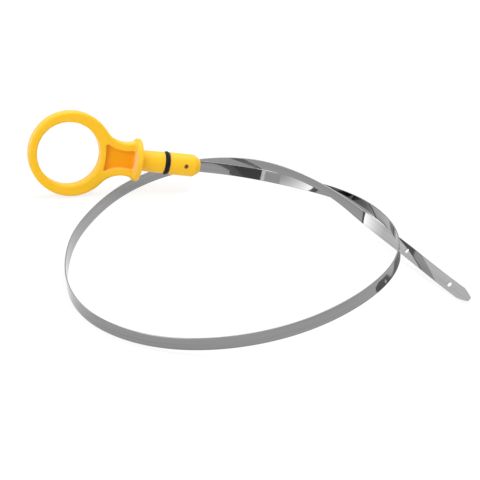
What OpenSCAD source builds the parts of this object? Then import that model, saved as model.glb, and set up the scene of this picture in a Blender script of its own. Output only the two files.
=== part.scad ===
// Engine oil dipstick. A moulded handle has a finger ring, a ribbed waist, a round flange and a
// plug stem with an O-ring. A spring steel blade is pinned into the stem, and is coiled once, as
// it is for packing, so that it stands on its edge and passes over and under itself.
// Millimetres, +Z up. The origin is on the surface that the dipstick lies on, below the middle
// of the whole part, and +X runs from the finger ring towards the tip of the blade.

/* [Finger ring] */
// Outer diameter of the finger ring
ring_d = 47; // [42:1:54]
// Diameter of the finger hole
hole_d = 35; // [28:0.5:36.5]
// How far the hole sits from the ring's centre, away from the stem
hole_shift = 1.4; // [0:0.1:2]
// Thickness of the ring and the waist
plate_t = 8.4; // [7:0.2:10]
// Radius of the rounded edges of the ring, the hole and the waist
edge_r = 1.5; // [0.8:0.1:1.8]
// From the centre of the ring to the seat under the flange
ring_to_seat = 38.5; // [35:0.1:44]

/* [Waist] */
// Height of the waist at its narrowest place
waist_h = 18.4; // [16.4:0.2:22]
// Radius of the hollow sides between the ring and the flange
waist_r = 15; // [11:0.5:17]
// Width of the ribs above and below the pockets
rib_w = 4.3; // [3:0.1:5.2]
// Wall between the finger hole and the pockets
pocket_wall = 2.8; // [2:0.1:5]
// Radius of the curved end of the pockets, beside the finger hole
pocket_end_r = 40; // [22:1:80]
// Thickness of the web between the two pockets
web_t = 1.5; // [1:0.1:3]
// Radius of the corners of the pockets
pocket_corner_r = 0.6; // [0.3:0.1:1]

/* [Flange] */
// Diameter of the flange
flange_d = 24; // [21:0.2:26]
// Thickness of the flange
flange_t = 2.9; // [2.4:0.1:5]
// Radius of the rounded edges of the flange
flange_edge_r = 0.9; // [0.3:0.1:1.1]

/* [Plug stem] */
// From the seat under the flange to the tip of the stem
stem_len = 35.2; // [32:0.1:45]
// Diameter of the plug, in front of the O-ring
plug_d = 12.5; // [11.8:0.1:14]
// Diameter of the stem where it leaves the flange
neck_d = 11.7; // [10.5:0.1:12]
// Straight length of the stem in front of the flange, before it widens towards the O-ring
neck_len = 3; // [2.5:0.5:8]
// Diameter of the stem just behind the O-ring
collar_d = 12.2; // [11.2:0.1:12.6]
// Diameter of the flat tip of the stem
tip_face_d = 7.9; // [7:0.1:9]
// Length of the chamfer at the tip of the stem
tip_len = 3.6; // [2:0.1:5]

/* [O-ring] */
// Thickness of the O-ring's cord
seal_cord_d = 2.7; // [2:0.1:3]
// Outer diameter of the O-ring
seal_d = 13.3; // [12.8:0.1:15]
// From the tip of the stem back to the middle of the O-ring
seal_back = 19.5; // [18:0.1:23]
// Gap between the O-ring and each side of its groove
seal_side_gap = 0.2; // [0.1:0.05:0.5]

/* [Blade] */
// Width of the blade
blade_w = 6.35; // [5:0.05:6.6]
// Thickness of the blade
blade_t = 0.6; // [0.5:0.05:1]
// How deep the root of the blade sits in the stem
root_len = 14; // [12:0.5:17]
// Length of the tapered tip of the blade
taper_len = 6.6; // [3:0.1:9]
// Width of the blunt nose at the very tip
nose_w = 2.2; // [1:0.1:4]
// Radius of the slightly rounded sides of the taper
taper_side_r = 30; // [12:1:60]
// Diameter of the two gauge holes
gauge_d = 2.5; // [1.5:0.1:3.5]
// From the tip of the blade to the nearer gauge hole
gauge_end = 14.7; // [10:0.1:24]
// Distance between the two gauge holes
gauge_gap = 36.7; // [20:0.1:60]

/* [Cross pin] */
// Diameter of the slotted spring pin through the stem and the blade
pin_d = 2.6; // [1.8:0.1:3]
// Wall of the spring pin
pin_wall = 0.4; // [0.3:0.05:0.5]
// Width of the slot along the spring pin
pin_slot_w = 0.5; // [0.3:0.05:0.6]
// How far each end of the spring pin lies below the stem
pin_recess = 1.3; // [0.5:0.1:2]
// From the tip of the stem back to the pin
pin_back = 8.8; // [7:0.1:10]
// Gap between the pin and its hole, and between the blade and its slot
fit_gap = 0.02; // [0.01:0.01:0.05]

/* [How it lies] */
// Where the tip of the stem lies, from left to right
tip_x = -23.6; // [-27:0.1:-20]
// Where the tip of the stem lies, from front to back
tip_y = 89.7; // [88:0.1:92]
// Direction of the stem, seen from above, in degrees
heading = 17; // [13:1:21]
// How much the handle leans back from upright, in degrees
lean_back = 10; // [7:1:13]

/* [Hidden] */
$fn = 96;
past = 1;              // how far a cut runs past the face that it opens
arc_steps = 5;         // straight pieces in each arc that is given as points

// Places along the axis of the handle. Its own frame has the tip of the stem at the origin,
// X out along the blade, Y through the blade's thickness and Z across its width.
seat_x = -stem_len;
flange_back_x = seat_x - flange_t;
ring_x = seat_x - ring_to_seat;
hole_x = ring_x - hole_shift;
ring_r = ring_d / 2;
hole_r = hole_d / 2;

// The hollow sides of the waist are arcs that run into the ring's outline
waist_bite = 0.05;     // how far they reach into it, so that the two surfaces cross
waist_z = waist_h / 2 + waist_r;
between_centres = ring_r + waist_r - waist_bite;
waist_x = ring_x + sqrt(pow(between_centres, 2) - pow(waist_z, 2));
corner_share = (ring_r + 1) / between_centres;
corner_x = ring_x + corner_share * (waist_x - ring_x);
corner_z = corner_share * waist_z;

// The seal and its groove
seal_r = (seal_d - seal_cord_d) / 2;
groove_r = seal_r - seal_cord_d / 2;
groove_w = seal_cord_d + 2 * seal_side_gap;
groove_back_x = -seal_back - groove_w / 2;
groove_front_x = -seal_back + groove_w / 2;

// The ring touches the surface while the flange just clears the blade that passes below it, and
// these two heights set how much the stem slopes down towards its tip. Each reach is how far the
// ring's or the flange's lowest point lies below its centre, and depends a little on the slope.
flange_mid_x = seat_x - flange_t / 2;
blade_top = blade_w + 0.2;  // height of the blade's upper edge below the flange, with a clearance
function ring_reach(s) =
    let (normal_up = sin(lean_back) * cos(s))
    (ring_r - edge_r) * sqrt(1 - pow(normal_up, 2)) + (plate_t / 2 - edge_r) * normal_up + edge_r;
function flange_reach(s) =
    (flange_d / 2 - flange_edge_r) * cos(s) + (flange_t / 2 - flange_edge_r) * sin(s) + flange_edge_r;
function settled_slope(s, tries) =
    tries == 0 ? s
    : settled_slope(asin((ring_reach(s) - flange_reach(s) - blade_top) / (flange_mid_x - ring_x)), tries - 1);
slope = settled_slope(0, 6);
tip_z = ring_reach(slope) + ring_x * sin(slope);
tip_pos = [tip_x, tip_y, tip_z];
stem_dir = [cos(heading) * cos(slope), sin(heading) * cos(slope), -sin(slope)];

// Route of the blade: x and y of each control point, the height of the blade's lower edge
// above the surface, and how far the blade leans over, in degrees. The blade follows them as a
// smooth curve that starts straight out of the stem.
lead = 20;             // length of the straight start that shapes the curve at the stem
route = [
    [21, 96, 4.5, -16], [46, 84, 5, -13], [66, 62, 8, 2], [79, 32, 11, 9], [85, -2, 12.5, 10],
    [78, -37, 12.5, 15], [59, -67, 10, 13], [33, -90, 6, 5], [1, -103, 2.5, -3], [-32, -103, 0, -11],
    [-61, -87, 0, -8], [-76, -59, 0, -5], [-81, -29, 0, -12], [-82, 2, 0, -16], [-77, 32, 0, -15],
    [-69, 61, 0, -16], [-56, 89, 0, -20], [-29, 106, 6, 1], [13, 98, 15, 30], [48, 74, 10, 28],
    [65, 53, 5, -6], [79, 32, 3, -38], [90, 8, 4, -41], [103, -14, 2, -40], [116, -33, 0, -38]
];

// Each knot holds x, y, z and the lean of the blade
function half_height(lean) = (blade_w * cos(lean) + blade_t * abs(sin(lean))) / 2;
function with_lean(p, lean) = [p[0], p[1], p[2], lean];
knots = concat(
    [for (k = [-1 : 1]) with_lean(tip_pos + k * lead * stem_dir, -lean_back)],
    [for (p = route) with_lean([p[0], p[1], p[2] + half_height(p[3])], p[3])]
);
last_knot = len(knots) - 1;
all_knots = concat(knots, [2 * knots[last_knot] - knots[last_knot - 1]]);
spans = len(all_knots) - 3;

// Smooth curve of the third degree through the knots' influence, and its direction
function curve_in_span(i, t) =
    (pow(1 - t, 3) * all_knots[i] + (3 * pow(t, 3) - 6 * pow(t, 2) + 4) * all_knots[i + 1]
    + (-3 * pow(t, 3) + 3 * pow(t, 2) + 3 * t + 1) * all_knots[i + 2] + pow(t, 3) * all_knots[i + 3]) / 6;
function slope_in_span(i, t) =
    (-pow(1 - t, 2) * all_knots[i] + (3 * pow(t, 2) - 4 * t) * all_knots[i + 1]
    + (-3 * pow(t, 2) + 2 * t + 1) * all_knots[i + 2] + pow(t, 2) * all_knots[i + 3]) / 2;
function span_of(u) = min(floor(u), spans - 1);
function xyz(p) = [p[0], p[1], p[2]];
function unit(v) = v / norm(v);
function place_at(u) = curve_in_span(span_of(u), u - span_of(u));
function along_at(u) = unit(xyz(slope_in_span(span_of(u), u - span_of(u))));

// Direction across the width of the blade: upright, then turned by the lean
function upright(along) = unit([0, 0, 1] - along[2] * along);
function width_dir(along, lean) = cos(lean) * upright(along) + sin(lean) * cross(along, upright(along));
function frame_of(place, along) =
    let (across = width_dir(along, place[3]), through = cross(across, along))
    [for (k = [0 : 2]) [along[k], through[k], across[k], place[k]]];
function frame_at(u) = frame_of(place_at(u), along_at(u));
tip_frame = frame_at(0);

// Stations of the blade, evenly spread over each span, and the length up to each of them
steps = 7;
stations = [for (i = [0 : spans * steps]) i / steps];
places = [for (u = stations) xyz(place_at(u))];
lengths = [for (i = 0, s = 0; i < len(places);
    s = s + (i < len(places) - 1 ? norm(places[i + 1] - places[i]) : 0), i = i + 1) s];
free_len = lengths[len(lengths) - 1];
function station_from_tip(s) =
    lookup(free_len - s, [for (i = [0 : len(stations) - 1]) [lengths[i], stations[i]]]);

// Cross-section of the blade, with its long edges broken
edge_break = blade_t / 3;
section = [
    for (side = [1, -1])
        for (p = [[blade_t / 2, blade_w / 2 - edge_break], [blade_t / 2 - edge_break, blade_w / 2],
            [edge_break - blade_t / 2, blade_w / 2], [-blade_t / 2, blade_w / 2 - edge_break]])
            side * p
];
function ring_of(frame, along) =
    [for (p = section)
        [for (row = frame) row[3] + row[0] * along + row[1] * p[0] + row[2] * p[1]]];

// Arc as points, for the rounded edges
function arc(cx, cy, r, from_angle, to_angle) =
    [for (k = [0 : arc_steps])
        let (a = from_angle + (to_angle - from_angle) * k / arc_steps) [cx + r * cos(a), cy + r * sin(a)]];

module in_handle() {
    multmatrix(concat(tip_frame, [[0, 0, 0, 1]])) children();
}
module on_blade(from_tip) {
    multmatrix(concat(frame_at(station_from_tip(from_tip)), [[0, 0, 0, 1]])) children();
}
// Solids of revolution about the handle's axis, and about a line through its thickness
module about_stem() {
    rotate([0, 90, 0]) rotate_extrude() children();
}
module about_thickness(x, z) {
    translate([x, 0, z]) rotate([90, 0, 0]) rotate_extrude() children();
}
module through_thickness(height) {
    rotate([90, 0, 0]) linear_extrude(height, center = true) children();
}

// Disc with rounded edges, and the cutter that leaves a round hole with rounded edges
module rounded_disc(r, t, e) {
    polygon(concat(
        [[0, -t / 2]], arc(r - e, -t / 2 + e, e, -90, 0), arc(r - e, t / 2 - e, e, 0, 90), [[0, t / 2]]
    ));
}
module flared_cut(r, t, e) {
    polygon(concat(
        [[0, -t / 2 - past], [r + e, -t / 2 - past]],
        arc(r + e, -t / 2 + e, e, 270, 180), arc(r + e, t / 2 - e, e, 180, 90),
        [[r + e, t / 2 + past], [0, t / 2 + past]]
    ));
}

// The waist runs from the ring's centre into the flange
module waist_outline() {
    polygon([[ring_x, 0], [corner_x, corner_z], [flange_mid_x, corner_z],
        [flange_mid_x, -corner_z], [corner_x, -corner_z]]);
}
module pocket_outline() {
    start_x = hole_x + hole_r + pocket_wall;
    offset(r = pocket_corner_r) offset(delta = -pocket_corner_r)
        difference() {
            translate([ring_x, -corner_z]) square([flange_back_x - ring_x, 2 * corner_z]);
            translate([start_x - pocket_end_r, 0]) circle(pocket_end_r);
            for (side = [1, -1]) translate([waist_x, side * waist_z]) circle(waist_r + rib_w);
        }
}
module ring_and_waist() {
    pocket_depth = (plate_t - web_t) / 2;
    difference() {
        union() {
            about_thickness(ring_x, 0) rounded_disc(ring_r, plate_t, edge_r);
            difference() {
                through_thickness(plate_t) waist_outline();
                for (side = [1, -1])
                    about_thickness(waist_x, side * waist_z) flared_cut(waist_r, plate_t, edge_r);
            }
        }
        about_thickness(hole_x, 0) flared_cut(hole_r, plate_t, edge_r);
        for (side = [1, -1])
            translate([0, side * (plate_t - pocket_depth + past) / 2, 0])
                through_thickness(pocket_depth + past) pocket_outline();
    }
}
module flange() {
    translate([flange_mid_x, 0, 0])
        about_stem() rounded_disc(flange_d / 2, flange_t, flange_edge_r);
}
// The stem with its groove and the chamfer at its tip
module stem() {
    about_stem() polygon([
        [0, flange_mid_x], [neck_d / 2, flange_mid_x], [neck_d / 2, seat_x + neck_len],
        [collar_d / 2, groove_back_x], [groove_r, groove_back_x], [groove_r, groove_front_x],
        [plug_d / 2, groove_front_x], [plug_d / 2, -tip_len], [tip_face_d / 2, 0], [0, 0]
    ]);
}
module blade_slot() {
    translate([-root_len - fit_gap, -blade_t / 2 - fit_gap, -blade_w / 2 - fit_gap])
        cube([root_len + fit_gap + past, blade_t + 2 * fit_gap, blade_w + 2 * fit_gap]);
}
module pin_bore(length) {
    translate([-pin_back, 0, 0]) rotate([90, 0, 0])
        cylinder(d = pin_d + 2 * fit_gap, h = length, center = true);
}

module handle() {
    color("gold") in_handle() difference() {
        union() {
            ring_and_waist();
            flange();
            stem();
        }
        blade_slot();
        pin_bore(plug_d + 2 * past);
    }
}

module o_ring() {
    color("dimgray") in_handle() translate([-seal_back, 0, 0])
        about_stem() translate([seal_r, 0]) circle(d = seal_cord_d, $fn = 32);
}

module strip() {
    rings = concat([ring_of(tip_frame, -root_len)], [for (u = stations) ring_of(frame_at(u), 0)]);
    n = len(section);
    last = len(rings) - 1;
    sides = [
        for (i = [0 : last - 1])
            for (k = [0 : n - 1])
                for (face = [[i * n + k, i * n + (k + 1) % n, (i + 1) * n + (k + 1) % n],
                    [i * n + k, (i + 1) * n + (k + 1) % n, (i + 1) * n + k]])
                    face
    ];
    start_cap = [for (k = [n - 1 : -1 : 0]) k];
    end_cap = [for (k = [0 : n - 1]) last * n + k];
    polyhedron([for (r = rings) each r], concat([start_cap, end_cap], sides), convexity = 10);
}
// Cut that leaves one side of the taper, slightly rounded from the full width to the nose
module taper_cut(side) {
    shoulder = [-taper_len, blade_w / 2];
    nose = [0, nose_w / 2];
    chord = nose - shoulder;
    inward = unit([chord[1], -chord[0]]);
    centre = (shoulder + nose) / 2 + inward * sqrt(pow(taper_side_r, 2) - pow(norm(chord) / 2, 2));
    from_angle = atan2(shoulder[1] - centre[1], shoulder[0] - centre[0]);
    to_angle = atan2(nose[1] - centre[1], nose[0] - centre[0]);
    rotate([side * 90, 0, 0]) linear_extrude(6 * blade_t, center = true) polygon(concat(
        arc(centre[0], centre[1], taper_side_r, from_angle, to_angle),
        [[past, nose_w / 2], [past, blade_w], [-taper_len, blade_w]]
    ));
}
module blade() {
    color("silver") difference() {
        strip();
        in_handle() pin_bore(4 * blade_t);
        for (s = [gauge_end, gauge_end + gauge_gap])
            on_blade(s) rotate([90, 0, 0]) cylinder(d = gauge_d, h = 4 * blade_t, center = true);
        for (side = [1, -1]) on_blade(0) taper_cut(side);
    }
}

module spring_pin() {
    pin_len = plug_d - 2 * pin_recess;
    color("darkslategray") in_handle() translate([-pin_back, 0, 0]) rotate([90, 0, 0])
        difference() {
            cylinder(d = pin_d, h = pin_len, center = true);
            cylinder(d = pin_d - 2 * pin_wall, h = pin_len + 2 * past, center = true);
            translate([0, -pin_slot_w / 2, -pin_len / 2 - past]) cube([pin_d, pin_slot_w, pin_len + 2 * past]);
        }
}

handle();
o_ring();
blade();
spring_pin();
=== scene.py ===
# Looks of an engine oil dipstick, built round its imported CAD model. Metres, +Z up.
import math

import bpy
from bpy.props import FloatProperty, FloatVectorProperty, IntProperty, PointerProperty
from mathutils import Matrix, Vector


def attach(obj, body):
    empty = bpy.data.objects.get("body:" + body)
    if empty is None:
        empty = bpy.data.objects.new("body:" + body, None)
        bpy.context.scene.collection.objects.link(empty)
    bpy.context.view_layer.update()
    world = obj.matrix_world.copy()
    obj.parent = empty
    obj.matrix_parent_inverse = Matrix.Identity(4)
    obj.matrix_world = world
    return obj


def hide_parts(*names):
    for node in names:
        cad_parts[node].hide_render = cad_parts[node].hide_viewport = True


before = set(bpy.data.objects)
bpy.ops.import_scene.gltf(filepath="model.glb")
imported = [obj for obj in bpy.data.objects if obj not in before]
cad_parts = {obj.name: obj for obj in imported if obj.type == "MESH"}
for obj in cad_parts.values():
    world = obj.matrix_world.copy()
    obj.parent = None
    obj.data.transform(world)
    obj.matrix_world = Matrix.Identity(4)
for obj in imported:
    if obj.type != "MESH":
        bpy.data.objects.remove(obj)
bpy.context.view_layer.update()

bl_info = {
    "name": "Oil dipstick",
    "version": (1, 0, 0),
    "blender": (4, 5, 0),
    "location": "View3D > Sidebar > Dipstick",
    "description": "Dresses the packed oil dipstick: moulded handle, O-ring, spring steel blade and pin",
    "category": "Add Mesh",
}

MM = 0.001


# Sizes and colours that a user may change

def size(name, description, millimetres):
    """A length that a user may change."""
    return FloatProperty(name=name, description=description, default=millimetres * MM, unit="LENGTH")


def tint(name, description, colour):
    """A colour that a user may change."""
    return FloatVectorProperty(
        name=name, description=description, default=colour, subtype="COLOR", min=0, max=1)


class HandleSizes(bpy.types.PropertyGroup):
    """Sizes of the yellow moulding"""
    ring_d: size("Ring diameter", "Outer diameter of the finger ring", 47)
    hole_d: size("Hole diameter", "Diameter of the finger hole", 35)
    hole_shift: size("Hole shift", "How far the hole sits from the ring's centre", 1.4)
    plate_t: size("Thickness", "Thickness of the ring and the waist", 8.4)
    edge_r: size("Edge radius", "Radius of the rounded edges of ring and waist", 1.5)
    ring_to_seat: size("Ring to seat", "From the ring's centre to the seat", 38.5)
    waist_h: size("Waist height", "Height of the waist at its narrowest", 18.4)
    waist_r: size("Waist radius", "Radius of the hollow sides", 15)
    rib_w: size("Rib width", "Width of the ribs beside the pockets", 4.3)
    pocket_wall: size("Pocket wall", "Wall between finger hole and pocket", 2.8)
    pocket_end_r: size("Pocket end", "Radius of the pocket's end beside the finger hole", 40)
    pocket_corner: size("Pocket corners", "Radius of the pockets' corners beside the finger hole", 1.2)
    rim_r: size("Pocket rim", "Radius of the rounded rim of the pockets", 0.35)
    floor_r: size("Pocket floor", "Radius of the hollow along the floor of the pockets", 0.7)
    web_t: size("Web", "Web between the two pockets", 1.5)
    flange_d: size("Flange diameter", "Diameter of the flange", 24)
    flange_t: size("Flange thickness", "Thickness of the flange", 2.9)
    flange_edge_r: size("Flange edge", "Radius of the flange's rounded rim", 0.9)
    root_r: size("Flange root", "Radius of the hollow where the ribs run into the flange", 1.5)
    stem_len: size("Stem length", "From the seat to the tip of the stem", 35.2)
    plug_d: size("Plug diameter", "Diameter in front of the O-ring", 12.5)
    neck_d: size("Neck diameter", "Diameter at the flange", 11.7)
    neck_len: size("Neck length", "Straight length in front of the flange", 3)
    collar_d: size("Collar diameter", "Diameter just behind the O-ring", 12.2)
    tip_face_d: size("Tip face", "Diameter of the flat tip", 7.9)
    tip_len: size("Tip length", "Length of the chamfer at the tip", 3.6)
    tip_edge_r: size("Tip edge", "Radius of the edges of the chamfer", 0.7)
    colour: tint("Colour", "Colour of the moulding", (0.98, 0.565, 0.024))


class SealSizes(bpy.types.PropertyGroup):
    """Sizes of the O-ring"""
    cord_d: size("Cord", "Thickness of the O-ring's cord", 2.7)
    outer_d: size("Outer diameter", "Outer diameter of the O-ring", 13.3)
    back: size("Place", "From the tip of the stem back to the O-ring", 19.5)
    side_gap: size("Side gap", "Gap between the free O-ring and the groove's sides", 0.2)
    # the spread is partly the squeeze of a seated cord and partly painted shade: black rubber laid over the
    # shaded gaps at the groove's sides
    spread: size("Spread", "How much wider the seated cord is squeezed along the stem", 0.24)
    flash: size("Flash", "Height of the moulding line round the O-ring", 0.05)
    colour: tint("Colour", "Colour of the rubber", (0.008, 0.008, 0.010))


class BladeSizes(bpy.types.PropertyGroup):
    """Sizes of the spring steel blade"""
    width: size("Width", "Width of the blade", 6.35)
    thickness: size("Thickness", "Thickness of the blade", 0.6)
    edge_r: size("Edge radius", "Radius of the rolled long edges", 0.2)
    root_len: size("Root", "How deep the root sits in the stem", 14)
    taper_len: size("Taper", "Length of the tapered tip", 6.6)
    nose_w: size("Nose", "Width of the blunt nose", 2.2)
    taper_side_r: size("Taper sides", "Radius of the slightly rounded sides of the taper", 30)
    gauge_d: size("Gauge hole", "Diameter of the gauge holes", 2.5)
    gauge_end: size("First hole", "From the blade's tip to the nearer hole", 14.7)
    gauge_gap: size("Hole spacing", "Distance between the gauge holes", 36.7)
    steps: IntProperty(
        name="Steps", description="Rings in each span of the blade's curve", default=24, min=4, max=64)
    colour: tint("Colour", "Colour of the bright steel", (0.275, 0.275, 0.278))


class PinSizes(bpy.types.PropertyGroup):
    """Sizes of the slotted spring pin"""
    diameter: size("Diameter", "Diameter of the pin", 2.6)
    wall: size("Wall", "Wall of the pin", 0.4)
    slot_w: size("Slot", "Width of the slot along the pin", 0.5)
    recess: size("Recess", "How far each end lies below the stem", 1.3)
    back: size("Place", "From the tip of the stem back to the pin", 8.8)
    fit_gap: size("Fit gap", "Gap round the pin and round the blade's root", 0.02)
    # the pin's dark red is painted shade and a painted reflection of the orange bore round its recessed
    # ends
    colour: tint("Colour", "Colour of the oiled pin", (0.11, 0.009, 0.004))


# How the dipstick lies: the tip of its stem, its heading and its lean

TIP_XY = (-23.6 * MM, 89.7 * MM)
HEADING = math.radians(17)
LEAN_BACK = math.radians(10)
UNDER_FLANGE = 0.2 * MM     # clearance between the flange and the blade that passes below it
LEAD = 20 * MM              # straight start that shapes the blade's curve at the stem

# How the forms are made

INSIDE = 0.01 * MM          # how far a joined form starts inside the one that carries it
SPARE = 1 * MM              # how far a cutter stands out of what it cuts
STRIDE = 0.01               # share of a span by which the blade's length is walked along
SLOPE_ROUNDS = 6            # rounds in which the handle's slope settles
MERGE = 0.005 * MM          # points nearer than this become one
ROUND_SIDES = 144           # sides of a large round form

# Route of the blade: x, y and height of the lower edge in millimetres, and the lean in degrees
ROUTE = [
    (21, 96, 4.5, -16), (46, 84, 5, -13), (66, 62, 8, 2), (79, 32, 11, 9), (85, -2, 12.5, 10),
    (78, -37, 12.5, 15), (59, -67, 10, 13), (33, -90, 6, 5), (1, -103, 2.5, -3), (-32, -103, 0, -11),
    (-61, -87, 0, -8), (-76, -59, 0, -5), (-81, -29, 0, -12), (-82, 2, 0, -16), (-77, 32, 0, -14),
    (-69, 61, 0, -12), (-56, 89, 0, -14), (-29, 106, 6, 1), (13, 98, 14, 24), (48, 74, 10, 28),
    (65, 53, 5, -6), (79, 32, 3, -38), (90, 8, 4, -42), (103, -14, 2, -44), (116, -33, 0, -42),
]


def turned(x, y, z):
    """The turn that brings the axes to x, y and z."""
    return Matrix((x, y, z)).transposed().to_4x4()


def frame_of(place, along, lean):
    """X along, Z across the width, upright and then turned by the lean, and Y through the thickness."""
    upright = (Vector((0, 0, 1)) - along.z * along).normalized()
    across = math.cos(lean) * upright + math.sin(lean) * along.cross(upright)
    return Matrix.Translation(place) @ turned(along, across.cross(along), across)


def ring_reach(handle, slope):
    """How far the leaning ring reaches below its centre."""
    normal_up = math.sin(LEAN_BACK) * math.cos(slope)
    flat = (handle.ring_d / 2 - handle.edge_r) * math.sqrt(1 - normal_up ** 2)
    return flat + (handle.plate_t / 2 - handle.edge_r) * normal_up + handle.edge_r


def flange_reach(handle, slope):
    """How far the sloping flange reaches below its centre."""
    edge = handle.flange_edge_r
    flat_r, flat_half = handle.flange_d / 2 - edge, handle.flange_t / 2 - edge
    return flat_r * math.cos(slope) + flat_half * math.sin(slope) + edge


def settled_slope(handle, blade):
    """Slope at which the ring touches the floor while the flange clears the blade below it."""
    apart = handle.ring_to_seat - handle.flange_t / 2
    slope = 0
    for _ in range(SLOPE_ROUNDS):
        drop = ring_reach(handle, slope) - flange_reach(handle, slope) - blade.width - UNDER_FLANGE
        slope = math.asin(drop / apart)
    return slope


def handle_frame(scene):
    """Place of the handle: the origin is the stem's tip, X runs out along the blade, Z across its width."""
    handle = scene.dipstick_handle
    slope = settled_slope(handle, scene.dipstick_blade)
    level = math.cos(slope)
    along = Vector((math.cos(HEADING) * level, math.sin(HEADING) * level, -math.sin(slope)))
    height = ring_reach(handle, slope) - (handle.stem_len + handle.ring_to_seat) * math.sin(slope)
    return frame_of(Vector((*TIP_XY, height)), along, -LEAN_BACK)


def blade_knots(scene):
    """Control points of the blade's curve, each with the blade's lean."""
    blade = scene.dipstick_blade
    root = handle_frame(scene)
    knots = [(root @ Vector((k * LEAD, 0, 0)), -LEAN_BACK) for k in (-2, -1, 0, 1)]
    for x, y, lift, lean in ROUTE:
        turn = math.radians(lean)
        half = (blade.width * math.cos(turn) + blade.thickness * abs(math.sin(turn))) / 2
        knots.append((Vector((x * MM, y * MM, lift * MM + half)), turn))
    last, before = knots[-1], knots[-2]
    return knots + [(2 * last[0] - before[0], 2 * last[1] - before[1])]


def curve_at(knots, u):
    """Place, direction and lean of the blade's curve, with one unit of u for each span."""
    span = min(int(u), len(knots) - 4)
    t = u - span
    weights = ((1 - t) ** 3, 3 * t ** 3 - 6 * t ** 2 + 4, -3 * t ** 3 + 3 * t ** 2 + 3 * t + 1, t ** 3)
    slopes = (-(1 - t) ** 2, 3 * t ** 2 - 4 * t, -3 * t ** 2 + 2 * t + 1, t ** 2)
    near = knots[span:span + 4]
    place = sum((w * knot[0] for w, knot in zip(weights, near)), Vector()) / 6
    along = sum((w * knot[0] for w, knot in zip(slopes, near)), Vector()).normalized()
    return place, along, sum(w * knot[1] for w, knot in zip(weights, near)) / 6


def frame_from_tip(knots, distance):
    """Frame on the blade at a distance from its tip."""
    u = len(knots) - 3
    place, along, lean = curve_at(knots, u)
    while distance > 0:
        u -= STRIDE
        before, along, lean = curve_at(knots, u)
        distance -= (place - before).length
        place = before
    return frame_of(place, along, lean)


# Helpers that work as by hand

def linked(name, data):
    """A new object in the scene that holds the data."""
    made = bpy.data.objects.new(name, data)
    bpy.context.scene.collection.objects.link(made)
    return made


def deselect():
    """Leaves edit mode, with nothing selected."""
    if bpy.context.mode != "OBJECT":
        bpy.ops.object.mode_set(mode="OBJECT")
    bpy.ops.object.select_all(action="DESELECT")


def pick(piece):
    """Makes the piece the only one selected, and the active one."""
    deselect()
    piece.select_set(True)
    bpy.context.view_layer.objects.active = piece
    return piece


def added(name):
    """Names the primitive that was just added."""
    piece = bpy.context.object
    piece.name = name
    piece.data.name = name
    return piece


def apply_all(piece):
    """Applies the piece's modifiers in their order."""
    pick(piece)
    for modifier in list(piece.modifiers):
        bpy.ops.object.modifier_apply(modifier=modifier.name)
    return piece


def combine(piece, other, operation):
    """Joins or cuts the piece with the other one, which is used up."""
    modifier = piece.modifiers.new("Combine", "BOOLEAN")
    modifier.operation = operation
    modifier.solver = "EXACT"
    modifier.object = other
    apply_all(piece)
    bpy.data.objects.remove(other)
    return piece


def cylinder(name, radius, depth, x, sides):
    """A round bar along Y, centred at x on the X axis."""
    deselect()
    bpy.ops.mesh.primitive_cylinder_add(
        vertices=sides, radius=radius, depth=depth, location=(x, 0, 0), rotation=(-math.pi / 2, 0, 0))
    return added(name)


def block(name, low, high):
    """A box between two corners."""
    low, high = Vector(low), Vector(high)
    deselect()
    bpy.ops.mesh.primitive_cube_add(size=1, location=(low + high) / 2)
    piece = added(name)
    piece.scale = high - low
    bpy.ops.object.transform_apply(location=True, rotation=True, scale=True)
    return piece


def settle(piece, matrix=Matrix.Identity(4)):
    """Moves the piece by the matrix, and puts its place in its mesh."""
    pick(piece)
    piece.matrix_world = matrix @ piece.matrix_world
    bpy.ops.object.transform_apply(location=True, rotation=True, scale=True)
    return piece


def clean(piece, merge=MERGE):
    """Merges points that meet, and turns the faces outwards."""
    pick(piece)
    bpy.ops.object.mode_set(mode="EDIT")
    bpy.ops.mesh.select_all(action="SELECT")
    bpy.ops.mesh.remove_doubles(threshold=merge)
    bpy.ops.mesh.normals_make_consistent(inside=False)
    bpy.ops.object.mode_set(mode="OBJECT")
    return piece


def smooth(piece, angle=35):
    """Smooth shading up to an angle, with large flat faces kept flat."""
    pick(piece)
    bpy.ops.object.shade_smooth_by_angle(angle=math.radians(angle), keep_sharp_edges=False)
    modifier = piece.modifiers.new("Weighted", "WEIGHTED_NORMAL")
    modifier.keep_sharp = True
    modifier.weight = 60
    return apply_all(piece)


def arc(centre, radius, start, end, count):
    """Points along an arc in the plane of the plate; angles in degrees."""
    angles = [math.radians(start + (end - start) * k / count) for k in range(count + 1)]
    return [(centre[0] + radius * math.cos(a), centre[1] + radius * math.sin(a)) for a in angles]


def closed_line(curve, points):
    """Adds a closed line of straight spans to a flat curve."""
    spline = curve.splines.new("POLY")
    spline.points.add(len(points) - 1)
    spline.use_cyclic_u = True
    for point, (x, y) in zip(spline.points, points):
        point.co = (x, y, 0, 1)


def plate_from(name, outlines, thickness, edge_r, rounds):
    """A flat plate with rounded edges, from closed outlines, the first one outside. It lies in X and Z."""
    curve = bpy.data.curves.new(name, "CURVE")
    curve.dimensions = "2D"
    curve.fill_mode = "BOTH"
    curve.extrude = thickness / 2 - edge_r
    curve.bevel_depth = edge_r
    curve.bevel_resolution = rounds
    curve.offset = -edge_r
    for outline in outlines:
        closed_line(curve, outline)
    pick(linked(name, curve))
    bpy.ops.object.convert(target="MESH")
    return clean(settle(bpy.context.object, Matrix.Rotation(math.radians(90), 4, "X")), merge=0.01 * MM)


def mesh_piece(name, points, edges, faces):
    """A new mesh from its points, as the picked piece."""
    mesh = bpy.data.meshes.new(name)
    mesh.from_pydata(points, edges, faces)
    return pick(linked(name, mesh))


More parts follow.
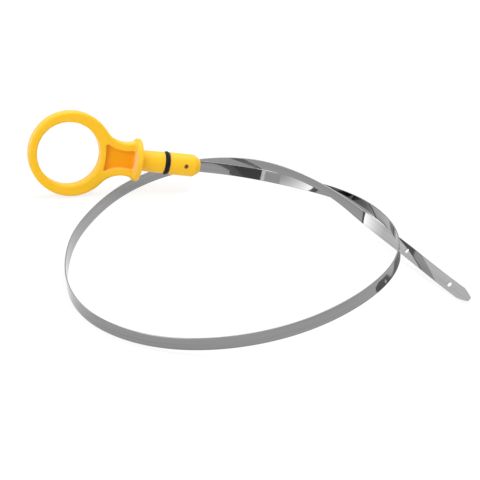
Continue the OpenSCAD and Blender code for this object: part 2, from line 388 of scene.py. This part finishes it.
def revolve(name, profile, closed=False, steps=ROUND_SIDES):
    """A solid turned about the X axis from points (x, radius)."""
    count = len(profile)
    edges = [(k, (k + 1) % count) for k in range(count if closed else count - 1)]
    piece = mesh_piece(name, [(x, 0, r) for x, r in profile], edges, [])
    bpy.ops.object.mode_set(mode="EDIT")
    bpy.ops.mesh.select_all(action="SELECT")
    bpy.ops.mesh.spin(
        steps=steps, angle=math.tau, center=(0, 0, 0), axis=(1, 0, 0), use_auto_merge=True)
    bpy.ops.object.mode_set(mode="OBJECT")
    return clean(piece)


def loft(name, rings):
    """A closed solid through rings that have equally many points."""
    count, last = len(rings[0]), len(rings) - 1
    points = [point for ring in rings for point in ring]
    faces = [tuple(range(count)), tuple(range(last * count, (last + 1) * count))]
    for start in range(0, last * count, count):
        for k in range(count):
            following = (k + 1) % count
            faces.append(tuple(start + n for n in (k, following, count + following, count + k)))
    return clean(mesh_piece(name, points, [], faces))


def rounded(corners, count=6):
    """A line through corners (x, radius from the axis, rounding), with its rounded corners as arcs."""
    line = [corners[0][:2]]
    for before, corner, after in zip(corners, corners[1:], corners[2:]):
        here, radius = Vector(corner[:2]), corner[2]
        if radius == 0:
            line.append(tuple(here))
            continue
        to_before, to_after = ((Vector(other[:2]) - here).normalized() for other in (before, after))
        half = to_before.angle(to_after) / 2
        centre = here + (to_before + to_after).normalized() * radius / math.sin(half)
        first = here + to_before * radius / math.tan(half) - centre
        last = here + to_after * radius / math.tan(half) - centre
        turn = first.angle_signed(last)
        line += [tuple(centre + Matrix.Rotation(-turn * k / count, 2) @ first) for k in range(count + 1)]
    return line + [corners[-1][:2]]


def lower_crossing(centre, radius, other, other_radius):
    """Where two circles cross, at the lower of the two places."""
    centre, other = Vector(centre), Vector(other)
    apart = (other - centre).length
    along = (radius ** 2 - other_radius ** 2 + apart ** 2) / (2 * apart)
    aside = math.sqrt(radius ** 2 - along ** 2)
    forward = (other - centre) / apart
    places = [centre + along * forward + side * aside * forward.orthogonal() for side in (1, -1)]
    return min(places, key=lambda place: place.y)


# Materials

def node_maker(tree):
    """A helper that adds nodes to a tree, with their inputs set or linked."""
    def node(kind, sources=None, **settings):
        made = tree.nodes.new(kind)
        for key, value in settings.items():
            setattr(made, key, value)
        for key, value in (sources or {}).items():
            socket = made.inputs[key]
            if isinstance(value, bpy.types.NodeSocket):
                tree.links.new(value, socket)
            else:
                socket.default_value = value
        return made
    return node


def new_material(name, colour, roughness=0.5, metallic=0.0):
    """A material with its shader, and the helper that adds nodes to it."""
    material = bpy.data.materials.new(name)
    material.use_nodes = True
    material.diffuse_color = (*colour, 1)
    shader = material.node_tree.nodes["Principled BSDF"]
    shader.inputs["Base Color"].default_value = (*colour, 1)
    shader.inputs["Roughness"].default_value = roughness
    shader.inputs["Metallic"].default_value = metallic
    return material, shader, node_maker(material.node_tree)


def stage_material(name, colour, surface):
    """A material of the stage, whose surface is made by a function that gets the helper for nodes."""
    material, shader, node = new_material(name, colour)
    output = material.node_tree.nodes["Material Output"]
    material.node_tree.links.new(surface(node), output.inputs["Surface"])
    material.node_tree.nodes.remove(shader)
    return material


def ramp(node, source, stops):
    """A colour ramp with two (place, colour) stops."""
    made = node("ShaderNodeValToRGB", {"Fac": source})
    for element, (place, colour) in zip(made.color_ramp.elements, stops):
        element.position = place
        element.color = (*colour, 1)
    return made.outputs["Color"]


def noise(node, place, scale, detail):
    """Values from 0 to 1 that wander over the place."""
    return node("ShaderNodeTexNoise", {"Vector": place, "Scale": scale, "Detail": detail}).outputs["Fac"]


def spread(node, source, low, high, start=0.0, stop=1.0):
    """Values from start to stop, spread from low to high."""
    sources = {"Value": source, "From Min": start, "From Max": stop, "To Min": low, "To Max": high}
    return node("ShaderNodeMapRange", sources).outputs["Result"]


def relief(node, height, strength, depth):
    """Normals of a fine relief."""
    sources = {"Height": height, "Strength": strength, "Distance": depth}
    return node("ShaderNodeBump", sources).outputs["Normal"]


def feed(shader, **sources):
    """Links sources to the shader's inputs, and sets those that are plain values."""
    for name, value in sources.items():
        socket = shader.inputs[name.replace("_", " ")]
        if isinstance(value, bpy.types.NodeSocket):
            shader.id_data.links.new(value, socket)
        else:
            socket.default_value = value


def scaled(colour, *factors):
    """The colour with its channels multiplied, by one factor or by one for each."""
    return tuple(c * f for c, f in zip(colour, factors * 3 if len(factors) == 1 else factors))


def yellow_plastic(colour):
    """Moulded plastic with faint flow streaks and a fine grain, and painted shade that deepens its colour
    to orange down in the pockets.
    """
    material, shader, node = new_material("Yellow moulding", colour, roughness=0.34)
    place = node("ShaderNodeTexCoord").outputs["Object"]
    flow = noise(node, place, scale=45.0, detail=3.0)
    shade = ramp(node, flow, [(0.35, scaled(colour, 0.99, 0.965, 0.85)), (0.65, colour)])
    # painted shade: the deeper a place lies in a pocket, the more its colour turns to a deep orange
    depth = node("ShaderNodeAttribute", attribute_name="pocket").outputs["Fac"]
    pocket_shade = (*scaled(colour, 0.97, 0.74, 0.08), 1)
    # inputs 0, 6 and 7 of a colour mix are its share and its two colours, and output 2 is its colour
    mixed = node("ShaderNodeMix", {0: depth, 6: shade, 7: pocket_shade}, data_type="RGBA").outputs[2]
    grain = noise(node, place, scale=2600.0, detail=2.0)
    feed(
        shader, Base_Color=mixed, Roughness=spread(node, grain, low=0.3, high=0.4),
        Normal=relief(node, grain, strength=0.05, depth=0.05 * MM), Subsurface_Weight=0.12,
        Subsurface_Radius=(1.0, 0.45, 0.12), Subsurface_Scale=1.2 * MM, IOR=1.48, Specular_IOR_Level=0.2)
    return material


def seal_rubber(colour):
    """Matt rubber with a faint bloom."""
    material, shader, node = new_material("Seal rubber", colour, roughness=0.42)
    bloom = noise(node, node("ShaderNodeTexCoord").outputs["Object"], scale=700.0, detail=4.0)
    feed(
        shader, Base_Color=ramp(node, bloom, [(0.4, colour), (0.8, scaled(colour, 1.7))]),
        Roughness=spread(node, bloom, low=0.34, high=0.5),
        Normal=relief(node, bloom, strength=0.1, depth=0.03 * MM), Specular_IOR_Level=0.1)
    return material


def spring_steel(colour):
    """Bright rolled strip. The rolling lines follow the blade through its own UV map."""
    material, shader, node = new_material("Bright spring steel", colour, roughness=0.1, metallic=1.0)
    along = node("ShaderNodeUVMap", uv_map="along").outputs["UV"]
    stretch = node("ShaderNodeMapping", {"Vector": along, "Scale": (9.0, 60.0, 1.0)}).outputs["Vector"]
    sources = {"Vector": stretch, "Scale": 1.0, "Detail": 4.0, "Roughness": 0.6}
    lines = node("ShaderNodeTexNoise", sources, noise_dimensions="2D").outputs["Fac"]
    film = noise(node, node("ShaderNodeTexCoord").outputs["Object"], scale=60.0, detail=2.0)
    oiled = node("ShaderNodeMath", {0: lines, 1: film}, operation="MULTIPLY").outputs["Value"]
    feed(
        shader, Base_Color=ramp(node, lines, [(0.3, scaled(colour, 0.9)), (0.7, scaled(colour, 1.06))]),
        Roughness=spread(node, oiled, low=0.03, high=0.07, start=0.1, stop=0.45),
        Normal=relief(node, lines, strength=0.02, depth=0.01 * MM))
    return material


def pin_steel_with_painted_shade(colour):
    """Steel painted dark red for the shade and the reflected orange of the bore round its recessed ends,
    blotched at random.
    """
    material, shader, node = new_material("Pin steel with painted red shade", colour, roughness=0.4, metallic=0.3)
    # random blotches that vary the painted red
    oil = noise(node, node("ShaderNodeTexCoord").outputs["Object"], scale=1500.0, detail=3.0)
    feed(
        shader, Base_Color=ramp(node, oil, [(0.35, colour), (0.75, scaled(colour, 2.0))]),
        Roughness=spread(node, oil, low=0.3, high=0.5), Specular_IOR_Level=0.15)
    return material


# Forms of the handle

class Places:
    """Places along the handle, all on its X axis and behind the stem's tip."""
    def __init__(self, h):
        self.seat = -h.stem_len
        self.flange_mid = self.seat - h.flange_t / 2
        self.flange_back = self.seat - h.flange_t
        self.ring = self.seat - h.ring_to_seat
        self.hole = self.ring - h.hole_shift
        self.waist_z = h.waist_h / 2 + h.waist_r
        self.waist = self.ring + math.sqrt((h.ring_d / 2 + h.waist_r) ** 2 - self.waist_z ** 2)


def ring_and_waist(h, at):
    """The finger ring and the waist, with their rounded edges, as one plate."""
    meet = math.degrees(math.atan2(at.waist_z, at.waist - at.ring))
    end = math.degrees(math.asin((at.flange_mid - at.waist) / h.waist_r))
    upper = arc((at.waist, at.waist_z), h.waist_r, 180 + meet, 270 + end, count=36)
    lower = [(x, -z) for x, z in reversed(upper)]
    round_side = arc((at.ring, 0), h.ring_d / 2, -meet, meet - 360, count=180)
    hole = arc((at.hole, 0), h.hole_d / 2, 0, 360, count=ROUND_SIDES)[:-1]
    outlines = [upper + lower + round_side[1:-1], hole]
    return plate_from("handle_moulding", outlines, h.plate_t, h.edge_r, rounds=8)


def flange_root(h, at):
    """The hollow in which the waist widens into the flange, up to the start of the flange's rounded rim."""
    reach = h.flange_d / 2 - h.flange_edge_r / 2
    share_of_room = 0.9         # how much of the room up to there the hollow may take
    half_y, e = h.plate_t / 2, h.edge_r
    corner_count, side_count, steps = 8, 12, 8

    def section(x):
        """Points round the waist at x, each with its outward direction."""
        half_z = at.waist_z - math.sqrt(h.waist_r ** 2 - (x - at.waist) ** 2)
        sides = ((1, 1), (-1, 1), (-1, -1), (1, -1))
        ends = ((-half_y + e, half_z), (-half_y, -half_z + e), (half_y - e, -half_z), (half_y, half_z - e))
        points = []
        for k, ((side_y, side_z), end) in enumerate(zip(sides, ends)):
            for a in arc((0, 0), 1, 90 * k, 90 * k + 90, corner_count):
                points.append((side_y * (half_y - e) + e * a[0], side_z * (half_z - e) + e * a[1], *a))
            y, z, dy, dz = points[-1]
            for step in range(1, side_count):
                share = step / side_count
                points.append((y + (end[0] - y) * share, z + (end[1] - z) * share, dy, dz))
        return points

    rooms = [share_of_room * (reach - math.hypot(y, z)) for y, z, _, _ in section(at.flange_back)]
    growth = [max(0, min(h.root_r, room)) for room in rooms]
    rings = []
    for k in range(steps + 1):
        x = at.flange_back - h.root_r * (1 - k / steps)
        share = 1 - math.sqrt(1 - (k / steps) ** 2)
        rings.append([
            (x, y + dy * (g * share - INSIDE), z + dz * (g * share - INSIDE))
            for (y, z, dy, dz), g in zip(section(x), growth)])
    rings.append([(at.flange_mid, y, z) for _, y, z in rings[-1]])
    return loft("flange_root", rings)


def pocket(h, at, side):
    """A pocket with rounded corners, a hollow along its floor and a rounded rim."""
    end_centre = Vector((at.hole + h.hole_d / 2 + h.pocket_wall - h.pocket_end_r, 0))
    rib_centre, rib_r = Vector((at.waist, at.waist_z)), h.waist_r + h.rib_w
    corner = lower_crossing(
        end_centre, h.pocket_end_r + h.pocket_corner, rib_centre, rib_r + h.pocket_corner)
    root_x = at.flange_back - h.root_r
    root = Vector((root_x, at.waist_z - math.sqrt((rib_r + h.root_r) ** 2 - (root_x - at.waist) ** 2)))

    def toward(centre, place):
        """The angle in degrees at which the place is seen from the centre."""
        return math.degrees(math.atan2(place.y - centre.y, place.x - centre.x))

    def directed(centre, radius, start, end, count, outward):
        """An arc whose points (x, z) also have a direction: 1 away from its centre, -1 towards it."""
        directions = arc((0, 0), outward, start, end, count)
        return [(*point, *way) for point, way in zip(arc(centre, radius, start, end, count), directions)]

    # upper half of the outline, from the finger ring to the flange
    corner_start = toward(corner, end_centre) % 360
    half = directed(end_centre, h.pocket_end_r, 0, toward(end_centre, corner), 10, -1)
    half += directed(corner, h.pocket_corner, corner_start, toward(corner, rib_centre), 8, 1)
    half += directed(rib_centre, rib_r, toward(rib_centre, corner), toward(rib_centre, root), 24, -1)
    half += directed(root, h.root_r, toward(root, rib_centre), 0, 8, 1)
    half.append((at.flange_back, 0, 1, 0))
    outline = half + [(x, -z, dx, -dz) for x, z, dx, dz in reversed(half[1:-1])]

    def ring(out, y):
        """The outline at a depth y, moved out all round."""
        return [(min(x + out * dx, at.flange_back), side * y, z + out * dz) for x, z, dx, dz in outline]

    floor_y, face_y = h.web_t / 2, h.plate_t / 2
    # the rim's arc stops at 84 degrees, just below the face, and the cutter then passes through the face
    hollow, rim = arc((0, 0), 1, 0, 90, count=6), arc((0, 0), 1, 0, 84, count=6)
    rings = [ring(h.floor_r * (up - 1), floor_y + h.floor_r * (1 - out)) for out, up in hollow]
    rings += [ring(h.rim_r * (1 - out), face_y - h.rim_r * (1 - up)) for out, up in rim]
    rings.append(ring(h.rim_r, face_y + h.root_r + h.edge_r))
    return loft("pocket", rings)


def mark_pocket_shade(piece, h, at):
    """Stores in "pocket" how deep each place lies in a pocket, from 0 at the face to 1 at the floor, for
    the painted shade there.
    """
    deep = (h.plate_t - h.web_t) / 2
    start = at.hole + h.hole_d / 2 + h.pocket_wall / 2
    mark = piece.data.attributes.new("pocket", "FLOAT", "POINT")
    for vertex, value in zip(piece.data.vertices, mark.data):
        x, y, z = vertex.co
        along = min(abs(x - at.waist), h.waist_r)
        rib_inner = at.waist_z - math.sqrt((h.waist_r + h.rib_w / 2) ** 2 - along ** 2)
        if start < x < at.flange_back + INSIDE and abs(z) < rib_inner:
            value.value = max(0, min(1, (h.plate_t / 2 - abs(y)) / deep))


def flange(h, at):
    """The round flange with its rounded rim."""
    radius, e = h.flange_d / 2, h.flange_edge_r
    corners = [(at.flange_back, 0, 0), (at.flange_back, radius, e), (at.seat, radius, e), (at.seat, 0, 0)]
    return revolve("flange", rounded(corners, count=10))


def stem(h, at, seal):
    """The stem with a hollow at the seat, its groove and its chamfered tip."""
    groove_r = seal.outer_d / 2 - seal.cord_d
    half_groove = seal.cord_d / 2 + seal.side_gap
    back, front = -seal.back - half_groove, -seal.back + half_groove
    neck, small = h.neck_d / 2, 0.2 * MM
    return revolve("stem", rounded([
        (at.flange_mid, 0, 0), (at.flange_mid, neck + 2 * small, 0), (at.seat - small, neck + 2 * small, 0),
        (at.seat + small, neck, small), (at.seat + h.neck_len, neck, small),
        (back, h.collar_d / 2, small), (back, groove_r, small), (front, groove_r, small),
        (front, h.plug_d / 2, small), (-h.tip_len, h.plug_d / 2, h.tip_edge_r),
        (0, h.tip_face_d / 2, h.tip_edge_r), (0, 0, 0)]))


def pin_bore(h, p):
    """The cutter for the pin's bore, through the stem and the root of the blade."""
    return cylinder("bore", p.diameter / 2 + p.fit_gap, h.plug_d + 2 * SPARE, x=-p.back, sides=64)


# Forms of the blade

def blade_section(b):
    """The strip's section, with its rolled edges."""
    section = bpy.data.curves.new("section", "CURVE")
    section.dimensions = "2D"
    corners = []
    for side_x, side_y, start in ((1, 1, 0), (-1, 1, 90), (-1, -1, 180), (1, -1, 270)):
        centre = (side_x * (b.thickness / 2 - b.edge_r), side_y * (b.width / 2 - b.edge_r))
        corners += arc(centre, b.edge_r, start, start + 90, count=3)
    closed_line(section, corners)
    return linked("section", section)


def sweep(b, knots):
    """The strip, swept along its route with the lean of each place."""
    section = blade_section(b)
    curve = bpy.data.curves.new("blade_strip", "CURVE")
    curve.dimensions = "3D"
    curve.twist_mode = "Z_UP"
    curve.resolution_u = b.steps
    curve.bevel_mode = "OBJECT"
    curve.bevel_object = section
    curve.use_fill_caps = True
    spline = curve.splines.new("NURBS")
    spline.points.add(len(knots) - 1)
    spline.order_u = 4
    spline.use_endpoint_u = False
    for point, (place, lean) in zip(spline.points, knots):
        point.co = (*place, 1)
        point.tilt = lean
    pick(linked("blade_strip", curve))
    bpy.ops.object.convert(target="MESH")
    bpy.data.objects.remove(section)
    strip = clean(bpy.context.object)
    strip.data.uv_layers[0].name = "along"
    return strip


def taper_cutter(b, end, side):
    """What is cut away beside the tapered tip, on its upper or lower side."""
    shoulder, nose = Vector((-b.taper_len, b.width / 2)), Vector((0, b.nose_w / 2))
    chord = nose - shoulder
    inward = Vector((chord.y, -chord.x)).normalized()
    centre = (shoulder + nose) / 2 + inward * math.sqrt(b.taper_side_r ** 2 - chord.length_squared / 4)
    start, stop = (math.degrees(math.atan2(p.y - centre.y, p.x - centre.x)) for p in (shoulder, nose))
    outline = arc(centre, b.taper_side_r, start, stop, count=12) + [
        (b.taper_len, b.nose_w / 2), (b.taper_len, b.width), (-b.taper_len, b.width)]
    rings = [[(x, y, side * z) for x, z in outline] for y in (-3 * b.thickness, 3 * b.thickness)]
    return settle(loft("taper", rings), end)


# Pieces

def finish_piece(piece, material, node, angle=35):
    """Shades and dresses the piece, which stands for the node. Only the blade is mirrored in the steel."""
    smooth(piece, angle)
    piece.data.materials.clear()
    piece.data.materials.append(material)
    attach(piece, "root")
    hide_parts(node)
    piece.visible_glossy = node == "blade"


class DIPSTICK_OT_handle(bpy.types.Operator):
    """Yellow moulding: finger ring, waist with pockets, flange and plug stem"""
    bl_idname = "dipstick.handle"
    bl_label = "Handle"

    def execute(self, context):
        scene = context.scene
        h, b, p = scene.dipstick_handle, scene.dipstick_blade, scene.dipstick_pin
        at = Places(h)
        moulding = ring_and_waist(h, at)
        combine(moulding, flange_root(h, at), "UNION")
        for side in (1, -1):
            combine(moulding, pocket(h, at, side), "DIFFERENCE")
        combine(moulding, flange(h, at), "UNION")
        combine(moulding, stem(h, at, scene.dipstick_seal), "UNION")
        slot = Vector((b.root_len, b.thickness / 2, b.width / 2)) + Vector((1, 1, 1)) * p.fit_gap
        combine(moulding, block("slot", -slot, (SPARE, slot.y, slot.z)), "DIFFERENCE")
        combine(moulding, pin_bore(h, p), "DIFFERENCE")
        clean(moulding, merge=0.003 * MM)
        # depth in the pockets, which sets their painted shade
        mark_pocket_shade(moulding, h, at)
        settle(moulding, handle_frame(scene))
        finish_piece(moulding, yellow_plastic(tuple(h.colour)), "handle")
        return {"FINISHED"}


class DIPSTICK_OT_seal(bpy.types.Operator):
    """Black O-ring in the groove of the stem, with its thin moulding line"""
    bl_idname = "dipstick.seal"
    bl_label = "O-ring"

    def execute(self, context):
        seal = context.scene.dipstick_seal
        cord_r, ring_r = seal.cord_d / 2, (seal.outer_d - seal.cord_d) / 2
        sides, sharpness = 48, 60       # of the cord, and of its moulding line
        section = []
        for k in range(sides):
            turn = math.tau * k / sides
            r = cord_r - seal.flash * (1 - abs(math.sin(turn)) ** sharpness)
            # widened by the spread, partly a squeeze and partly black rubber over the groove's shaded gaps
            along = (r + seal.spread / 2) * math.cos(turn)
            section.append((along - seal.back, ring_r + r * math.sin(turn)))
        ring = settle(revolve("o_ring_seal", section, closed=True), handle_frame(context.scene))
        finish_piece(ring, seal_rubber(tuple(seal.colour)), "o_ring", angle=60)
        return {"FINISHED"}


class DIPSTICK_OT_blade(bpy.types.Operator):
    """Spring steel blade, swept along its route, with gauge holes and a tapered tip"""
    bl_idname = "dipstick.blade"
    bl_label = "Blade"

    def execute(self, context):
        scene = context.scene
        h, b, p = scene.dipstick_handle, scene.dipstick_blade, scene.dipstick_pin
        knots, root = blade_knots(scene), handle_frame(scene)
        strip = sweep(b, knots)
        behind = block("behind", (-2 * LEAD, -b.width, -b.width), (-b.root_len, b.width, b.width))
        combine(strip, settle(behind, root), "DIFFERENCE")
        combine(strip, settle(pin_bore(h, p), root), "DIFFERENCE")
        for distance in (b.gauge_end, b.gauge_end + b.gauge_gap):
            hole = cylinder("gauge_hole", b.gauge_d / 2, 10 * b.thickness, x=0, sides=48)
            combine(strip, settle(hole, frame_from_tip(knots, distance)), "DIFFERENCE")
        for side in (1, -1):
            combine(strip, taper_cutter(b, frame_from_tip(knots, 0), side), "DIFFERENCE")
        finish_piece(strip, spring_steel(tuple(b.colour)), "blade", angle=40)
        return {"FINISHED"}


class DIPSTICK_OT_pin(bpy.types.Operator):
    """Slotted spring pin through the stem and the blade's root"""
    bl_idname = "dipstick.pin"
    bl_label = "Spring pin"

    def execute(self, context):
        p, h = context.scene.dipstick_pin, context.scene.dipstick_handle
        half, outside, inside = h.plug_d / 2 - p.recess, p.diameter / 2, p.diameter / 2 - p.wall
        chamfer = p.wall / 2
        pin = revolve("spring_pin_tube", [
            (-half, inside), (-half, outside - chamfer), (-half + chamfer, outside),
            (half - chamfer, outside), (half, outside - chamfer), (half, inside)], closed=True, steps=64)
        slot = block("slot", (-2 * half, -p.slot_w / 2, 0), (2 * half, p.slot_w / 2, p.diameter))
        combine(pin, slot, "DIFFERENCE")
        across = Matrix.Translation((-p.back, 0, 0)) @ Matrix.Rotation(math.radians(90), 4, "Z")
        settle(clean(pin), handle_frame(context.scene) @ across)
        finish_piece(pin, pin_steel_with_painted_shade(tuple(p.colour)), "spring_pin")
        return {"FINISHED"}


# Stage

FLOOR_WIDTH = 12
FLOOR_MATT = 0.8            # grey of the floor to the light that it gives back
FLOOR_SHADED = 0.21         # share of the white floor that a shadow can darken
FLOOR_GLOW = 0.81           # share that stays the same in a shadow
WORLD_LIGHT = 0.49          # strength of the even light from all round

# Round lamps: name, place, target, width, and power in watts
LAMPS = (
    ("Above", (0.1, 0.25, 0.9), (0, 0.02, 0), 1.1, 7.3),
    ("Front", (-0.5, -0.9, 0.7), (0, 0, 0), 0.8, 5.7),
)

# Cards that the steel mirrors: name, material, near foot, far foot, height of the card, level,
# glow at the foot, and height up to which the glow falls off
CARDS = (
    ("tripod_cloth", "Dark cloth", (0.257, -0.609), (-0.059, -0.652), 0.16, 0.17, 0, 1),
    ("cloth_edge", "Pale cloth edge", (-0.059, -0.652), (-0.103, -0.646), 0.16, 1.8, 0, 1),
    ("sweep_front", "Front of the sweep", (-0.69, -0.251), (-0.34, -0.62), 0.12, 1, 3, 0.12),
    ("sweep_left", "Left of the sweep", (-0.74, -0.02), (-0.56, 0.52), 0.75, 1.6, 2.2, 0.3),
)

CAMERA_TARGET = Vector((3 * MM, 22 * MM, 0))
CAMERA_DISTANCE = 0.6766
CAMERA_RISE = math.radians(24.163)
CAMERA_ROLL = math.radians(4.361)
CAMERA_SENSOR = 36          # width in millimetres
CAMERA_LENS = 96.773        # length in millimetres
CAMERA_NEAR = 0.01          # nearest distance that it sees


def seen_white(node):
    """1 for rays from the camera and for those that metal or glass sends on, else 0."""
    path = node("ShaderNodeLightPath").outputs
    seen = path["Is Camera Ray"]
    for name in ("Is Glossy Ray", "Is Transmission Ray"):
        seen = node("ShaderNodeMath", {0: seen, 1: path[name]}, operation="MAXIMUM").outputs["Value"]
    return seen


def floor_surface(node):
    """White to the camera and in the steel, with a soft shadow, and pale and matt to all other light."""
    matt, shaded = (
        node("ShaderNodeBsdfDiffuse", {"Color": (grey, grey, grey, 1)}).outputs["BSDF"]
        for grey in (FLOOR_MATT, FLOOR_SHADED))
    glow = node("ShaderNodeEmission", {"Strength": FLOOR_GLOW}).outputs["Emission"]
    shown = node("ShaderNodeAddShader", {0: shaded, 1: glow}).outputs["Shader"]
    return node("ShaderNodeMixShader", {0: seen_white(node), 1: matt, 2: shown}).outputs["Shader"]


def white_world():
    """White to the camera and in the steel, and an even light on the object."""
    world = bpy.data.worlds.new("Studio")
    world.use_nodes = True
    background = world.node_tree.nodes["Background"]
    background.inputs["Color"].default_value = (1, 1, 1, 1)
    node = node_maker(world.node_tree)
    feed(background, Strength=spread(node, seen_white(node), low=WORLD_LIGHT, high=1))
    return world


def lamp(name, place, target, width, power):
    """A round area lamp that faces its target."""
    light = bpy.data.lights.new(name, "AREA")
    light.shape = "DISK"
    light.size = width
    light.energy = power
    made = linked(name, light)
    made.location = place
    made.rotation_euler = (Vector(target) - Vector(place)).to_track_quat("-Z", "Y").to_euler()


def card(name, label, near, far, height, level, glow, glow_height):
    """An upright card on the floor, far out of view, that only shows as a reflection in the steel."""
    def surface(node):
        """An even level, with a glow that falls off evenly from the card's foot."""
        place = node("ShaderNodeTexCoord").outputs["Object"]
        up = node("ShaderNodeSeparateXYZ", {"Vector": place}).outputs["Z"]
        strength = spread(node, up, low=level + glow, high=level, stop=glow_height)
        return node("ShaderNodeEmission", {"Strength": strength}).outputs["Emission"]

    (x, y), (u, v) = near, far
    made = mesh_piece(name, [(x, y, 0), (u, v, 0), (u, v, height), (x, y, height)], [], [(0, 1, 2, 3)])
    made.data.materials.append(stage_material(label, (0, 0, 0), surface))
    made.visible_camera = made.visible_diffuse = made.visible_shadow = False


def camera_place():
    """The camera's place and turn, from its target, its rise above the floor and its roll."""
    back = Vector((0, -math.cos(CAMERA_RISE), math.sin(CAMERA_RISE)))
    above = Vector((0, math.sin(CAMERA_RISE), math.cos(CAMERA_RISE)))
    level = Vector((1, 0, 0))
    right = math.cos(CAMERA_ROLL) * level + math.sin(CAMERA_ROLL) * above
    up = math.cos(CAMERA_ROLL) * above - math.sin(CAMERA_ROLL) * level
    return Matrix.Translation(CAMERA_TARGET + CAMERA_DISTANCE * back) @ turned(right, up, back)


class DIPSTICK_OT_stage(bpy.types.Operator):
    """White floor, soft studio light and the camera of the photograph"""
    bl_idname = "dipstick.stage"
    bl_label = "Stage"

    def execute(self, context):
        scene = context.scene
        deselect()
        bpy.ops.mesh.primitive_plane_add(size=FLOOR_WIDTH, location=(0, 0, 0))
        floor = added("floor")
        floor.data.materials.append(stage_material("White floor", (FLOOR_MATT,) * 3, floor_surface))

        scene.view_settings.view_transform = "Standard"
        scene.world = white_world()
        for values in LAMPS:
            lamp(*values)
        for values in CARDS:
            card(*values)

        camera = bpy.data.cameras.new("Camera")
        camera.sensor_width = CAMERA_SENSOR
        camera.lens = CAMERA_LENS
        camera.clip_start = CAMERA_NEAR
        scene.camera = linked("Camera", camera)
        scene.camera.matrix_world = camera_place()
        return {"FINISHED"}


class DIPSTICK_PT_panel(bpy.types.Panel):
    """Sizes, colours and pieces of the dipstick"""
    bl_idname = "DIPSTICK_PT_panel"
    bl_label = "Oil dipstick"
    bl_space_type = "VIEW_3D"
    bl_region_type = "UI"
    bl_category = "Dipstick"

    def draw(self, context):
        for operator in OPERATORS:
            self.layout.operator(operator.bl_idname)
        for name, _ in GROUPS:
            group = getattr(context.scene, name)
            box = self.layout.box()
            for key in group.bl_rna.properties.keys():
                if key not in ("rna_type", "name"):
                    box.prop(group, key)


GROUPS = (
    ("dipstick_handle", HandleSizes), ("dipstick_seal", SealSizes),
    ("dipstick_blade", BladeSizes), ("dipstick_pin", PinSizes),
)
OPERATORS = (DIPSTICK_OT_handle, DIPSTICK_OT_seal, DIPSTICK_OT_blade, DIPSTICK_OT_pin, DIPSTICK_OT_stage)


def register():
    """Registers the sizes, the operators and the panel."""
    for name, group in GROUPS:
        bpy.utils.register_class(group)
        setattr(bpy.types.Scene, name, PointerProperty(type=group))
    for kind in OPERATORS + (DIPSTICK_PT_panel,):
        bpy.utils.register_class(kind)


def unregister():
    """Takes back what register does, in reverse order."""
    for kind in reversed(OPERATORS + (DIPSTICK_PT_panel,)):
        bpy.utils.unregister_class(kind)
    for name, group in reversed(GROUPS):
        delattr(bpy.types.Scene, name)
        bpy.utils.unregister_class(group)


def main():
    """Builds the dipstick and its stage."""
    for name in ("Cube", "Light", "Camera"):    # the start-up scene's own objects
        if name in bpy.data.objects:
            bpy.data.objects.remove(bpy.data.objects[name])
    register()
    bpy.ops.dipstick.handle()
    bpy.ops.dipstick.seal()
    bpy.ops.dipstick.blade()
    bpy.ops.dipstick.pin()
    bpy.ops.dipstick.stage()


if __name__ == "__main__":
    main()
